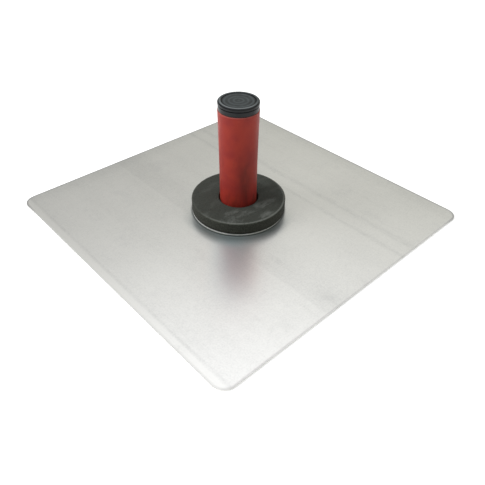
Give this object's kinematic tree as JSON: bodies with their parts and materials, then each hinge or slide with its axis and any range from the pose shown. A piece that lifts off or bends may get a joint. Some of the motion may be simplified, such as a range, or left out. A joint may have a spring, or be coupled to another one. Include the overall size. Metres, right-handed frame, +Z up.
{
  "type": "plasterer's hawk",
  "caption": "Square aluminium mortar board with a round backing disc, a foam callus guard and an upright screw-on round handle.",
  "frame": {"origin": "centre of the blade's flat working face, which lies on the surface the tool stands on", "axes": "+Z up the handle, away from the working face; +X and +Y along the blade's sides"},
  "size_m": [0.3302, 0.3302, 0.1235],
  "materials": {
    "blade": "satin mill finish sheet, faint rolling streaks",
    "disc": "flat sheet, dull with a worn cut rim",
    "rivet": "countersunk rivet, worn level with the sheet",
    "steel": "bright zinc plated",
    "insert": "machined",
    "foam": "closed-cell foam rubber, matt with dusty patches",
    "core": "moulded",
    "grip": "satin, lightly scuffed",
    "cap": "moulded, fine satin"
  },
  "bodies": {
    "board": {"blade": "blade", "base_disc": "disc", "rivet_1": "rivet", "rivet_2": "rivet", "rivet_3": "rivet", "rivet_4": "rivet", "stud": "steel", "lock_washer": "steel", "stud_nut": "steel"},
    "guard": {"callus_guard": "foam"},
    "insert": {"threaded_insert": "insert"},
    "handle": {"handle_core": "core", "grip_sleeve": "grip", "end_cap": "cap"}
  },
  "joints": [
    {"name": "guard_lift", "type": "slide", "parent": "board", "child": "guard", "axis": [0, 0, 1], "range_m": [0, 0.095]},
    {"name": "handle_lift", "type": "slide", "parent": "board", "child": "insert", "axis": [0, 0, 1], "range_m": [0, 0.01588]},
    {"name": "handle_turn", "type": "hinge", "parent": "insert", "child": "handle", "pos_m": [0, 0, 0.0038], "axis": [0, 0, 1], "range_deg": [0, 3600]}
  ],
  "couplings": [
    {"joint": "handle_lift", "follows": "handle_turn", "m_per_rad": 0.00025266}
  ]
}
